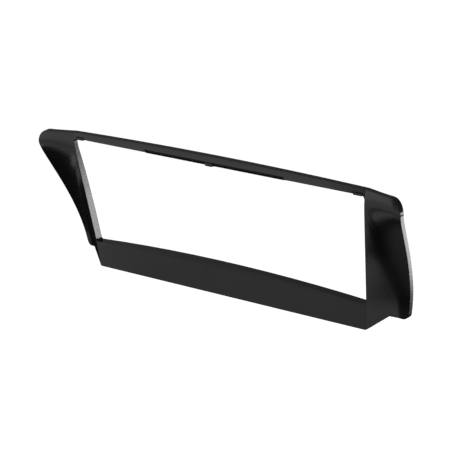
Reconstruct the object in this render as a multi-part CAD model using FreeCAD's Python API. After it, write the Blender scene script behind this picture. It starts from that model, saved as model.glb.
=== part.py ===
import FreeCAD, Part
import math
import os
from FreeCAD import Vector

# A one-piece moulded surround for a slot-in car radio. Millimetres, X to the right, Y to the back, Z up.
# The origin is the middle of the radio opening, in the plane of its front edge.
# A drop is a distance below the opening's upper edge, and an overhang is measured outwards from its side.

# Radio opening
radio_width = 178.0
radio_height = 50.0
side_room = 2.9
height_room = 1.4
opening_taper = 6.3
lower_edge_arch = 3.1
opening_top_radius = 2.0
opening_foot_radius = 1.0

# Front outline
top_bar_middle = 4.2
top_bar_end = 2.3
ear_overhang = 24.8
ear_radius = 6.5
foot_overhang = 17.85
foot_rise = 4.4
foot_radius = 3.0
notch_overhang = 9.45
notch_rise = 6.7
bottom_bar_height = 13.2
bar_corner_radius = 3.5

# Front surface: ears that lead forwards, a bar that leans, and wings that sweep back on their way down
wall = 2.4
roll_start = 2.0
roll_lean = 0.51
bar_lean = 0.8
ear_lead = 4.55
ear_roll = 26.0
ear_roll_start = -12.0
ear_roll_length = 20.0
ear_roll_edge = 0.14
sweep_depth = 14.1
sweep_length = 58.0
sweep_ease = 1.2
cheek_start = 5.2
cheek_length = 68.0
cheek_ease = 0.85
cheek_width = 13.4
cheek_slope = 0.63
cheek_top_width = 2.0

# Return edge round the opening
collar_wall = 1.8
collar_side_depth = 4.1
collar_foot_depth = 4.4
collar_start = 4.0
collar_length = 40.0
collar_ease = 0.75

# Locating lip under the top bar, with its tab and centre mark, and the stops beside the corners
lip_width = 94.0
lip_drop = 0.7
lip_slope_height = 1.6
lip_slope_depth = 1.1
tab_width = 4.4
mark_width = 0.5
mark_height = 3.2
mark_depth = 0.7
stop_gap = 4.5
stop_width = 5.6
stop_drop = 0.4
lip_setback = 0.1

# Behind the bottom bar and the wings
skirt_wall = 1.8
skirt_depth = 6.4
skirt_inset = 7.0
rib_wall = 1.2
rib_pitch = 36.0
rib_count = 4
peg_radius = 2.2
peg_length = 8.0
peg_tip = 0.7
peg_shoulder_radius = 3.4
peg_shoulder_height = 0.7
peg_inset = 19.0
peg_rise = 5.6
clip_overhang = 15.0
clip_width = 7.0
clip_wall = 1.6
clip_reach = 4.0
clip_barb = 0.9
clip_barb_foot = 0.6
clip_drop = 44.0

opening_foot_half = radio_width / 2 + side_room
opening_top_half = opening_foot_half + opening_taper
opening_height = radio_height + height_room + lip_drop + lower_edge_arch
upper_edge = opening_height / 2
bar_foot_drop = opening_height + bottom_bar_height
foot_drop = bar_foot_drop - foot_rise
notch_drop = bar_foot_drop - notch_rise
side_slope = opening_taper / opening_height

# The front surface is drawn larger than the outline by this margin, and slabs run this far front and back
margin = 12.0
row_count = 16
slab_front = -25.0
slab_back = 60.0

# Where the poles lie across the cheek and across the outer band, as shares of their widths
cheek_poles = (0.0, 0.42, 0.80)
band_poles = (0.16, 0.52, 1.0)


def level(drop):
    """Height of a point that lies a given drop below the opening's upper edge."""
    return upper_edge - drop


def side_line(drop):
    """Half-width of the opening at a drop. The bottom bar's ends follow the same straight line."""
    return opening_top_half - side_slope * drop


def outer_line(drop):
    """Half-width of the outline along the straight outer edge of ear and wing."""
    top = side_line(0) + ear_overhang
    foot = side_line(foot_drop) + foot_overhang
    return top + (foot - top) * drop / foot_drop


def ease(drop, start, length, power):
    """Share from 0 to 1 of a curve that starts at a drop and levels out after a length."""
    share = min(max((drop - start) / length, 0.0), 1.0)
    return math.sin(share * math.pi / 2) ** power


def lean(drop):
    """How far the face between the side lines lies behind the opening's plane."""
    rise = max(roll_start - drop, 0.0)
    back = roll_lean * rise * rise / (rise + 2 * roll_start)
    below = max(drop - opening_height, 0.0)
    return back - bar_lean * below / bottom_bar_height


def point(x, y, drop):
    return Vector(x, y, level(drop))


def cubic_knots(count):
    """Knots and multiplicities of a clamped cubic with a given number of poles."""
    spans = count - 3
    return [float(i) for i in range(spans + 1)], [4] + [1] * (spans - 1) + [4]


def row_drops():
    """Drops of the levels at which the front surface is drawn."""
    step = (bar_foot_drop + 2 * margin) / (row_count - 1)
    return [i * step - margin for i in range(row_count)]


def wing_row(drop):
    """Poles across one level of the right-hand face: flat cheek, soft valley, flatter outer band."""
    inner = side_line(drop)
    outer = outer_line(drop)
    swept = sweep_depth * ease(drop, 0.0, sweep_length, sweep_ease) - ear_lead
    share = ease(drop, cheek_start, cheek_length, cheek_ease)
    cheek = cheek_top_width + (cheek_width - cheek_top_width) * share
    flare = swept / (outer - inner)
    cheek_depth = cheek * (cheek_slope * share + flare * (1 - share))
    span = outer - inner - cheek
    slope = (swept - cheek_depth) / span
    across = [(part * cheek, part * cheek_depth) for part in cheek_poles]
    across += [(cheek + part * span, cheek_depth + part * span * slope) for part in band_poles]
    roll = ear_roll * (1 - ease(drop, ear_roll_start, ear_roll_length, 1.0))
    across[-1] = (cheek + span, swept + ear_roll_edge * roll)
    across.append((cheek + span + margin, swept + margin * slope + roll))
    return [point(inner + x, y + lean(drop), drop) for x, y in across]


def wing_face():
    """Front face of the right-hand ear, cheek and wing, larger than the outline that trims it."""
    poles = [wing_row(drop) for drop in row_drops()]
    row_knots, row_mults = cubic_knots(len(poles))
    col_knots, col_mults = cubic_knots(len(poles[0]))
    surface = Part.BSplineSurface()
    surface.buildFromPolesMultsKnots(poles, row_mults, col_mults, row_knots, col_knots, False, False, 3, 3)
    return surface.toShape()


def bar_face():
    """Front face between the side lines: the profile of the wing's inner edge, run along X."""
    reach = opening_top_half + margin
    curve = Part.BSplineCurve()
    poles = [point(-reach, lean(drop), drop) for drop in row_drops()]
    knots, mults = cubic_knots(len(poles))
    curve.buildFromPolesMultsKnots(poles, mults, knots, False, 3)
    return curve.toShape().extrude(Vector(2 * reach, 0, 0))


def slab(edges, front=slab_front, back=slab_back):
    """Solid with a closed outline in the front view, running from front to back."""
    face = Part.Face(Part.Wire(edges))
    face.translate(Vector(0, front, 0))
    return face.extrude(Vector(0, back - front, 0))


def polygon(corners):
    """Straight edges through (x, drop) corners, closed."""
    loop = [point(x, 0, drop) for x, drop in corners]
    return [Part.LineSegment(a, b).toShape() for a, b in zip(loop, loop[1:] + loop[:1])]


def rectangle(x_low, x_high, top_drop, foot_drop_here, front=slab_front, back=slab_back):
    corners = [(x_low, top_drop), (x_high, top_drop), (x_high, foot_drop_here), (x_low, foot_drop_here)]
    return slab(polygon(corners), front, back)


def run_along_x(profile, x_low, x_high):
    """Solid with a closed outline of (y, drop) corners in the side view, running along X."""
    corners = [point(x_low, y, drop) for y, drop in profile]
    return Part.Face(Part.makePolygon(corners + corners[:1])).extrude(Vector(x_high - x_low, 0, 0))


def arched(half, end_drop, middle_drop):
    """Arc from left to right through a raised middle."""
    ends = point(-half, 0, end_drop), point(half, 0, end_drop)
    return Part.Arc(ends[0], point(0, 0, middle_drop), ends[1]).toShape()


def round_corners(solid, corners):
    """Fillets the edges that run front to back at (x, drop, radius) corners, on both sides."""
    for x, drop, radius in corners:
        wanted = []
        for edge in solid.Edges:
            box = edge.BoundBox
            middle = edge.CenterOfMass
            near = math.hypot(abs(middle.x) - x, middle.z - level(drop)) < 0.5
            if near and box.YLength > 1.0 and max(box.XLength, box.ZLength) < 0.01:
                wanted.append(edge)
        solid = solid.makeFillet(radius, wanted)
    return solid


def mirrored(solid):
    return solid.mirror(Vector(0, 0, 0), Vector(1, 0, 0))


def outline():
    """Everything inside the frame's outer edge."""
    corner = outer_line(-top_bar_end)
    foot = outer_line(foot_drop)
    notch = side_line(notch_drop) + notch_overhang
    bar_end = side_line(bar_foot_drop)
    steps = [(corner, -top_bar_end), (foot, foot_drop), (notch, notch_drop), (bar_end, bar_foot_drop)]
    loop = [point(x, 0, drop) for x, drop in steps] + [point(-x, 0, drop) for x, drop in reversed(steps)]
    edges = [Part.LineSegment(a, b).toShape() for a, b in zip(loop, loop[1:])]
    edges.append(arched(corner, -top_bar_end, -top_bar_middle))
    rounded = [(corner, -top_bar_end, ear_radius), (foot, foot_drop, foot_radius)]
    rounded.append((bar_end, bar_foot_drop, bar_corner_radius))
    return round_corners(slab(edges), rounded)


def opening_edges(outset):
    """Outline of the radio opening with its arched foot, moved outwards by an outset."""
    foot_level = opening_height + outset
    top = side_line(0) + outset
    foot = side_line(foot_level) + outset
    edges = polygon([(-foot, foot_level), (-top, 0), (top, 0), (foot, foot_level)])[:3]
    edges.append(arched(foot, foot_level, foot_level - lower_edge_arch))
    return edges


def opening():
    rounded = [(side_line(0), 0, opening_top_radius), (opening_foot_half, opening_height, opening_foot_radius)]
    return round_corners(slab(opening_edges(0)), rounded)


def skin(depth):
    """The whole front face given a depth: both wings and the bars between them."""
    right = wing_face().extrude(Vector(0, depth, 0))
    above = -margin / 2
    below = bar_foot_drop + margin / 2
    corners = [(-side_line(above), above), (side_line(above), above)]
    corners += [(side_line(below), below), (-side_line(below), below)]
    middle = bar_face().extrude(Vector(0, depth, 0)).common(slab(polygon(corners)))
    return middle.fuse([right, mirrored(right)])


def collar():
    """Return edge round the opening's sides and foot. At the sides it deepens from the top downwards."""
    ring = slab(opening_edges(collar_wall)).cut(opening())
    deep = skin(max(collar_side_depth, collar_foot_depth)).common(ring)
    steps = 8
    levels = [collar_start + collar_length * i / steps for i in range(steps + 1)]
    gain = collar_side_depth - wall
    backs = [wall + gain * ease(drop, collar_start, collar_length, collar_ease) for drop in levels]
    profile = list(zip(backs, levels))
    profile += [(collar_side_depth, opening_height), (collar_foot_depth, opening_height + collar_wall)]
    profile += [(slab_front, opening_height + collar_wall), (slab_front, collar_start)]
    reach = opening_top_half + margin
    return deep.common(run_along_x(profile, -reach, reach))


def lip():
    """Tongue under the top bar, between the opening's corners."""
    half = lip_width / 2
    front = lean(0) + lip_setback
    profile = [(front, -top_bar_end / 2), (front, lip_drop), (wall, lip_drop), (wall, -top_bar_end / 2)]
    return run_along_x(profile, -half, half)


def lip_slope():
    """What is cut away in front of the lip, so that it faces down, on both sides of the tab."""
    half = lip_width / 2
    top = lip_drop - lip_slope_height
    front = lean(top)
    profile = [(slab_front, top), (front, top), (front + lip_slope_depth, lip_drop), (slab_front, lip_drop + 1)]
    profile.insert(3, (front + lip_slope_depth, lip_drop + 1))
    return [run_along_x(profile, -half, -tab_width), run_along_x(profile, mark_width, half)]


def centre_mark():
    """Narrow groove up the front of the top bar at its middle."""
    top = lip_drop - mark_height
    return rectangle(0, mark_width, top, lip_drop + 1, slab_front, lean(0) + mark_depth)


def stops():
    """Small blocks under the top bar beside the opening's corners."""
    outer = opening_top_half - stop_gap + stop_width / 2
    inner = outer - stop_width
    corners = [(inner, -1), (outer, -1), (outer, stop_drop), (inner + stop_drop, stop_drop)]
    right = slab(polygon(corners), lean(0) + lip_setback, wall)
    return [right, mirrored(right)]


def skirt():
    """Return edge along the foot of the bottom bar."""
    half = side_line(bar_foot_drop) - skirt_inset
    return rectangle(-half, half, bar_foot_drop - skirt_wall, bar_foot_drop, wall / 2 - bar_lean, skirt_depth)


def ribs():
    """Upright webs behind the bottom bar, between collar and skirt."""
    top = opening_height + collar_wall / 2 - lower_edge_arch / 2
    foot = bar_foot_drop - skirt_wall / 2
    webs = []
    for i in range(rib_count):
        middle = (i - (rib_count - 1) / 2) * rib_pitch
        left, right = middle - rib_wall / 2, middle + rib_wall / 2
        webs.append(rectangle(left, right, top, foot, wall / 2 - bar_lean / 4, collar_foot_depth))
    return webs


def pegs():
    """Round locating pegs behind the bottom bar, each with a flat shoulder at its root and a chamfered tip."""
    drop = bar_foot_drop - peg_rise
    place = side_line(bar_foot_drop) - peg_inset
    root = lean(drop) + wall / 2
    seat = root + wall / 2 + peg_shoulder_height
    backwards = Vector(0, 1, 0)
    shoulder = Part.makeCylinder(peg_shoulder_radius, seat - root, point(place, root, drop), backwards)
    peg = Part.makeCylinder(peg_radius, seat - root + peg_length, point(place, root, drop), backwards)
    tip = [edge for edge in peg.Edges if abs(edge.BoundBox.YMin - peg.BoundBox.YMax) < 0.01]
    right = peg.makeChamfer(peg_tip, tip).fuse(shoulder)
    return [right, mirrored(right)]


def wing_depth(x, drop):
    """Depth of the wing's front face at a place in the front view."""
    ray = Part.LineSegment(point(x, slab_front, drop), point(x, slab_back, drop)).toShape()
    return ray.common(wing_face().extrude(Vector(0, slab_back, 0))).BoundBox.YMin


def clips():
    """Snap tongues behind the wings, each with a barb that faces outwards."""
    place = side_line(clip_drop) + clip_overhang
    start = wing_depth(place, clip_drop) + wall / 2
    tip = start + wall / 2 + clip_reach
    profile = [(0, start), (clip_wall, start), (clip_wall, tip - 2 * clip_barb - clip_barb_foot)]
    profile += [(clip_wall + clip_barb, tip - 2 * clip_barb), (clip_wall + clip_barb / 3, tip), (0, tip)]
    corners = [point(place + x, y, clip_drop + clip_width / 2) for x, y in profile]
    right = Part.Face(Part.makePolygon(corners + corners[:1])).extrude(Vector(0, 0, clip_width))
    return [right, mirrored(right)]


def mounting_frame():
    """The plate, cut to its outline and opening, with everything moulded on behind it."""
    plate = skin(wall).common(outline()).cut(opening())
    added = [collar(), lip(), skirt()] + stops() + ribs() + pegs() + clips()
    frame = plate.fuse(added).removeSplitter()
    return frame.cut(lip_slope() + [centre_mark()]).Solids[0]


os.makedirs("parts", exist_ok=True)
shape = mounting_frame()
shape.exportStep("parts/mounting_frame.step")
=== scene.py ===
"""The moulded radio surround on a white studio table, seen from its right and a little above."""
import math

import bpy
from mathutils import Matrix, Vector


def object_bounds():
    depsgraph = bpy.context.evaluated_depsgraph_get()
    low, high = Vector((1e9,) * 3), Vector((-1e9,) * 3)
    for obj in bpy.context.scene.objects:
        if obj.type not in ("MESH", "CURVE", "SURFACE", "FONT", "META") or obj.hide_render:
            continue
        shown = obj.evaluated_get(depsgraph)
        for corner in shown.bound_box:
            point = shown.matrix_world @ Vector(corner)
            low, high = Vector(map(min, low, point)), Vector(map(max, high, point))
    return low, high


# Camera, fitted to the photograph. Its target is the middle of the radio opening.
IMAGE_WIDTH = 460
FOCAL_PIXELS = 2670.2
CAMERA_YAW = math.radians(46.36)
CAMERA_RISE = math.radians(20.31)
CAMERA_ROLL = math.radians(-7.74)
CAMERA_DISTANCE = 1.3032
SHIFT_PIXELS = (-12.07, -10.95)
SENSOR_WIDTH = 36.0
CLIP_NEAR = 0.01
CLIP_FAR = 20.0

# Table, in metres. To the camera it glows just under white, and the light that falls on it makes it white.
# To everything else it is nearly black.
FLOOR_GAP = 0.12
FLOOR_SIZE = 6.0
FLOOR_GLOW = 0.90
FLOOR_PALE = 0.80
FLOOR_GREY = 0.04

# Room. The camera sees it white, and the part gets a dim, even light from it.
ROOM_WHITE = 1.0
ROOM_GREY = 0.14

# Plastic. Lengths in metres, scales per metre.
PLASTIC_IOR = 1.5
DEEP_BLACK = (0.0040, 0.0040, 0.0042, 1)
PALE_BLACK = (0.0062, 0.0062, 0.0064, 1)
EVEN = (1, 1, 1)
NOISE_ROUGH = 0.6
NOISE_LOW = 0.3
NOISE_HIGH = 0.7
GRAIN_SCALE = 1500.0
GRAIN_DETAIL = 3
GRAIN_DEPTH = 0.00003
GRAIN_STRENGTH = 0.35
GRAIN_ROUGH = 0.03
PIT_SCALE = 2100.0
SHEEN_SCALE = 38.0
SHEEN_DETAIL = 4
FLOW_SCALE = 45.0
FLOW_DETAIL = 4
FLOW_STRETCH = (0.25, 1, 3)
FLOW_DEPTH = 0.00004
FLOW_STRENGTH = 0.25
TINT_SHARE = 0.5
ROUGH_LOW = 0.15
ROUGH_HIGH = 0.20
EDGE_RADIUS = 0.0004
EDGE_SAMPLES = 4

# Colour sockets of a mix node, which share their names with its other sockets.
MIX_FIRST = 6
MIX_SECOND = 7
MIX_RESULT = 2

# Light panels: name, place, direction they face, direction of their width, width, height, brightness.
# A brightness of 1 is the white of the table. They stand in one plane in front of the part, on two
# slanted planes behind it, and just above the table.
FRONT = -0.225
TABLE = -0.155
TO_BACK = (0, 1, 0)
TO_LEFT_FRONT = (-1, -1, 0)
TO_RIGHT = (1, 0, 0)
TO_RIGHT_FRONT = (1, -1, 0)
UP = (0, 0, 1)
PANELS = [
    ("front_left", (-0.27, FRONT, -0.095), TO_BACK, TO_RIGHT, 0.42, 0.13, 0.52),
    ("front_middle", (0.03, FRONT, -0.073), TO_BACK, TO_RIGHT, 0.18, 0.086, 0.75),
    ("front_right", (0.21, FRONT, -0.095), TO_BACK, TO_RIGHT, 0.17, 0.13, 0.90),
    ("front_high", (-0.285, FRONT, 0.035), TO_BACK, TO_RIGHT, 0.38, 0.13, 0.83),
    ("back_low", (0.18, 0.20, -0.13), TO_LEFT_FRONT, TO_RIGHT_FRONT, 0.34, 0.06, 6.0),
    ("back_high", (0.30, 0.27, -0.0915), TO_LEFT_FRONT, TO_RIGHT_FRONT, 0.50, 0.056, 10.0),
    ("table_right", (0.041, -0.076, TABLE), UP, (0.86, -0.51, 0), 0.24, 0.14, 0.16),
    ("table_left", (-0.165, -0.145, TABLE), UP, TO_RIGHT, 0.09, 0.07, 0.62),
    ("table_far_left", (-0.415, -0.19, TABLE), UP, TO_RIGHT, 0.13, 0.10, 0.90),
    ("table_side", (-0.47, -0.075, TABLE), UP, TO_RIGHT, 0.09, 0.13, 0.40),
]


def make_camera():
    """Camera that looks at the origin, turned about the upright, raised and rolled."""
    sin_yaw, cos_yaw = math.sin(CAMERA_YAW), math.cos(CAMERA_YAW)
    sin_rise, cos_rise = math.sin(CAMERA_RISE), math.cos(CAMERA_RISE)
    back = Vector((sin_yaw * cos_rise, -cos_yaw * cos_rise, sin_rise))
    level_right = Vector((cos_yaw, sin_yaw, 0.0))
    level_up = back.cross(level_right)
    sin_roll, cos_roll = math.sin(CAMERA_ROLL), math.cos(CAMERA_ROLL)
    right = cos_roll * level_right + sin_roll * level_up
    up = cos_roll * level_up - sin_roll * level_right
    data = bpy.data.cameras.new("camera")
    data.sensor_width = SENSOR_WIDTH
    data.lens = FOCAL_PIXELS / IMAGE_WIDTH * SENSOR_WIDTH
    data.shift_x = -SHIFT_PIXELS[0] / IMAGE_WIDTH
    data.shift_y = SHIFT_PIXELS[1] / IMAGE_WIDTH
    data.clip_start = CLIP_NEAR
    data.clip_end = CLIP_FAR
    camera = bpy.data.objects.new("camera", data)
    turn = Matrix((right, up, back)).transposed().to_4x4()
    camera.matrix_world = Matrix.Translation(back * CAMERA_DISTANCE) @ turn
    bpy.context.scene.collection.objects.link(camera)
    bpy.context.scene.camera = camera


def black_plastic():
    """Satin black moulded plastic: fine eroded grain, faint flow marks and a slightly uneven sheen."""
    material = bpy.data.materials.new("black_plastic")
    material.use_nodes = True
    nodes, links = material.node_tree.nodes, material.node_tree.links
    shader = nodes["Principled BSDF"]
    shader.inputs["IOR"].default_value = PLASTIC_IOR
    place = nodes.new("ShaderNodeTexCoord")

    def noise(scale, detail, stretch=EVEN):
        mapping = nodes.new("ShaderNodeMapping")
        mapping.inputs["Scale"].default_value = stretch
        texture = nodes.new("ShaderNodeTexNoise")
        texture.inputs["Scale"].default_value = scale
        texture.inputs["Detail"].default_value = detail
        texture.inputs["Roughness"].default_value = NOISE_ROUGH
        links.new(place.outputs["Object"], mapping.inputs["Vector"])
        links.new(mapping.outputs["Vector"], texture.inputs["Vector"])
        return texture.outputs["Fac"]

    def spread(source, low, high):
        span = nodes.new("ShaderNodeMapRange")
        span.inputs["From Min"].default_value = NOISE_LOW
        span.inputs["From Max"].default_value = NOISE_HIGH
        span.inputs["To Min"].default_value = low
        span.inputs["To Max"].default_value = high
        links.new(source, span.inputs["Value"])
        return span.outputs["Result"]

    def total(first, second):
        add = nodes.new("ShaderNodeMath")
        add.operation = "ADD"
        links.new(first, add.inputs[0])
        links.new(second, add.inputs[1])
        return add.outputs[0]

    def bump(source, strength, depth, normal):
        node = nodes.new("ShaderNodeBump")
        node.inputs["Strength"].default_value = strength
        node.inputs["Distance"].default_value = depth
        links.new(source, node.inputs["Height"])
        links.new(normal, node.inputs["Normal"])
        return node.outputs["Normal"]

    grain = noise(GRAIN_SCALE, GRAIN_DETAIL)
    pits = nodes.new("ShaderNodeTexVoronoi")
    pits.feature = "SMOOTH_F1"
    pits.inputs["Scale"].default_value = PIT_SCALE
    links.new(place.outputs["Object"], pits.inputs["Vector"])
    flow = noise(FLOW_SCALE, FLOW_DETAIL, FLOW_STRETCH)
    sheen = noise(SHEEN_SCALE, SHEEN_DETAIL)

    tint = nodes.new("ShaderNodeMix")
    tint.data_type = "RGBA"
    tint.inputs[MIX_FIRST].default_value = DEEP_BLACK
    tint.inputs[MIX_SECOND].default_value = PALE_BLACK
    patches = total(spread(grain, 0.0, TINT_SHARE), spread(sheen, 0.0, TINT_SHARE))
    links.new(spread(patches, 0.0, 1.0), tint.inputs["Factor"])
    links.new(tint.outputs[MIX_RESULT], shader.inputs["Base Color"])
    rough = total(spread(sheen, ROUGH_LOW, ROUGH_HIGH), spread(grain, 0.0, GRAIN_ROUGH))
    links.new(rough, shader.inputs["Roughness"])

    edge = nodes.new("ShaderNodeBevel")
    edge.samples = EDGE_SAMPLES
    edge.inputs["Radius"].default_value = EDGE_RADIUS
    normal = bump(flow, FLOW_STRENGTH, FLOW_DEPTH, edge.outputs["Normal"])
    normal = bump(total(grain, pits.outputs["Distance"]), GRAIN_STRENGTH, GRAIN_DEPTH, normal)
    links.new(normal, shader.inputs["Normal"])
    return material


def grey_shader(tree, kind, grey):
    shader = tree.nodes.new(kind)
    shader.inputs["Color"].default_value = (grey, grey, grey, 1)
    return shader.outputs[0]


def finish_studio(tree, output, seen, otherwise):
    """Send one shader to the camera and another to everything else."""
    out = tree.nodes.new(output)
    path = tree.nodes.new("ShaderNodeLightPath")
    mix = tree.nodes.new("ShaderNodeMixShader")
    tree.links.new(path.outputs["Is Camera Ray"], mix.inputs["Fac"])
    tree.links.new(otherwise, mix.inputs[1])
    tree.links.new(seen, mix.inputs[2])
    tree.links.new(mix.outputs[0], out.inputs["Surface"])


def table_material():
    """White to the camera wherever light falls on it, nearly black to everything else."""
    material = bpy.data.materials.new("table")
    material.use_nodes = True
    tree = material.node_tree
    tree.nodes.clear()
    seen = tree.nodes.new("ShaderNodeAddShader")
    tree.links.new(grey_shader(tree, "ShaderNodeEmission", FLOOR_GLOW), seen.inputs[0])
    tree.links.new(grey_shader(tree, "ShaderNodeBsdfDiffuse", FLOOR_PALE), seen.inputs[1])
    dark = grey_shader(tree, "ShaderNodeBsdfDiffuse", FLOOR_GREY)
    finish_studio(tree, "ShaderNodeOutputMaterial", seen.outputs[0], dark)
    return material


def make_floor(lowest):
    mesh = bpy.data.meshes.new("floor")
    half = FLOOR_SIZE / 2
    height = lowest - FLOOR_GAP
    corners = [(-half, -half, height), (half, -half, height), (half, half, height), (-half, half, height)]
    mesh.from_pydata(corners, [], [(0, 1, 2, 3)])
    floor = bpy.data.objects.new("floor", mesh)
    mesh.materials.append(table_material())
    bpy.context.scene.collection.objects.link(floor)


def make_world():
    world = bpy.data.worlds.new("studio")
    world.use_nodes = True
    tree = world.node_tree
    tree.nodes.clear()
    seen = grey_shader(tree, "ShaderNodeBackground", ROOM_WHITE)
    dim = grey_shader(tree, "ShaderNodeBackground", ROOM_GREY)
    finish_studio(tree, "ShaderNodeOutputWorld", seen, dim)
    bpy.context.scene.world = world


def make_panel(name, place, facing, across, width, height, brightness):
    """Flat light panel of even brightness that the camera doesn't see."""
    data = bpy.data.lights.new(name, "AREA")
    data.shape = "RECTANGLE"
    data.size = width
    data.size_y = height
    data.energy = brightness * math.pi * width * height
    lamp = bpy.data.objects.new(name, data)
    back = -Vector(facing).normalized()
    right = Vector(across).normalized()
    turn = Matrix((right, back.cross(right), back)).transposed().to_4x4()
    lamp.matrix_world = Matrix.Translation(Vector(place)) @ turn
    lamp.visible_camera = False
    bpy.context.scene.collection.objects.link(lamp)


def box_corners():
    low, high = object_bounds()
    return [list(map(float, low)), list(map(float, high))]


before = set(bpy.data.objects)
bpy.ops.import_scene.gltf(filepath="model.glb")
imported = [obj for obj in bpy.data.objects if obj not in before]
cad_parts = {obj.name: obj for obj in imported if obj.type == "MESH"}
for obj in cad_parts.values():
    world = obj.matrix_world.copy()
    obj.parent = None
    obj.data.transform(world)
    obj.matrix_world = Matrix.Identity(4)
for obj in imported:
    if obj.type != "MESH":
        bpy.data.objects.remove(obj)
cad_box = box_corners()
bpy.context.scene.view_settings.view_transform = "Standard"
make_camera()
make_world()
make_floor(cad_box[0][2])
for panel in PANELS:
    make_panel(*panel)

plastic = black_plastic()
for slot in bpy.data.objects["mounting_frame"].material_slots:
    slot.material = plastic
